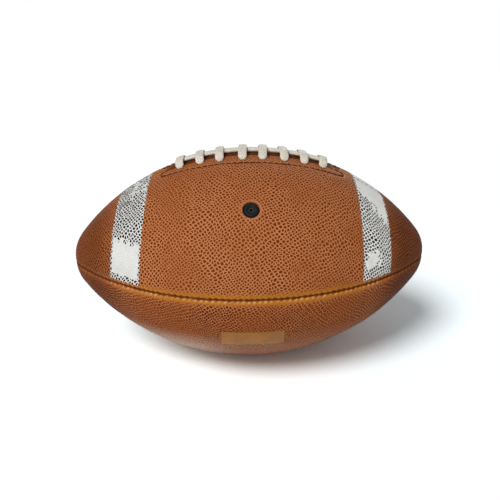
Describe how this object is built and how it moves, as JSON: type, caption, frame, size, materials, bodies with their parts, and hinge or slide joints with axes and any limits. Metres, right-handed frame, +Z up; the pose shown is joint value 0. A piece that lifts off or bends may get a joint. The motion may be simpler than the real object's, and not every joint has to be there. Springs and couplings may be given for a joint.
{
  "type": "american football",
  "caption": "Pointed oval leather ball of sewn panels with white end stripes, a laced top seam, an inner bladder and a needle valve.",
  "frame": {"origin": "middle of the small flat patch under the ball that it rests on", "axes": "+X along the ball from tip to tip, +Z up through the laces, -Y to the front, where the valve is"},
  "size_m": [0.2858, 0.168, 0.173],
  "materials": {
    "cover_leather": "pebbled, tan brown, satin, with worn white paint stripes",
    "lining_cloth": "unbleached woven cotton",
    "seam_thread": "waxed twisted thread",
    "facing_leather": "smooth, flesh side out",
    "facing_thread": "dark brown twisted thread",
    "lace_vinyl": "soft vinyl with a pebbled grip",
    "tongue_felt": "pressed felt",
    "bladder_rubber": "smooth butyl",
    "valve_rubber": "moulded, matte",
    "label_film": "clear film, blank"
  },
  "bodies": {
    "root": {"panel_front_upper": "cover_leather", "panel_front_lower": "cover_leather", "panel_back_lower": "cover_leather", "panel_back_upper": "cover_leather", "lining_front_upper": "lining_cloth", "lining_front_lower": "lining_cloth", "lining_back_lower": "lining_cloth", "lining_back_upper": "lining_cloth", "thread_seam_front": "seam_thread", "thread_seam_bottom": "seam_thread", "thread_seam_back": "seam_thread", "thread_seam_lace_ends": "seam_thread", "facing_front": "facing_leather", "facing_back": "facing_leather", "thread_facing_front": "facing_thread", "thread_facing_back": "facing_thread", "lace": "lace_vinyl", "tongue": "tongue_felt", "bladder": "bladder_rubber", "valve_body": "valve_rubber", "valve_core": "valve_rubber", "label_film": "label_film"}
  },
  "joints": []
}
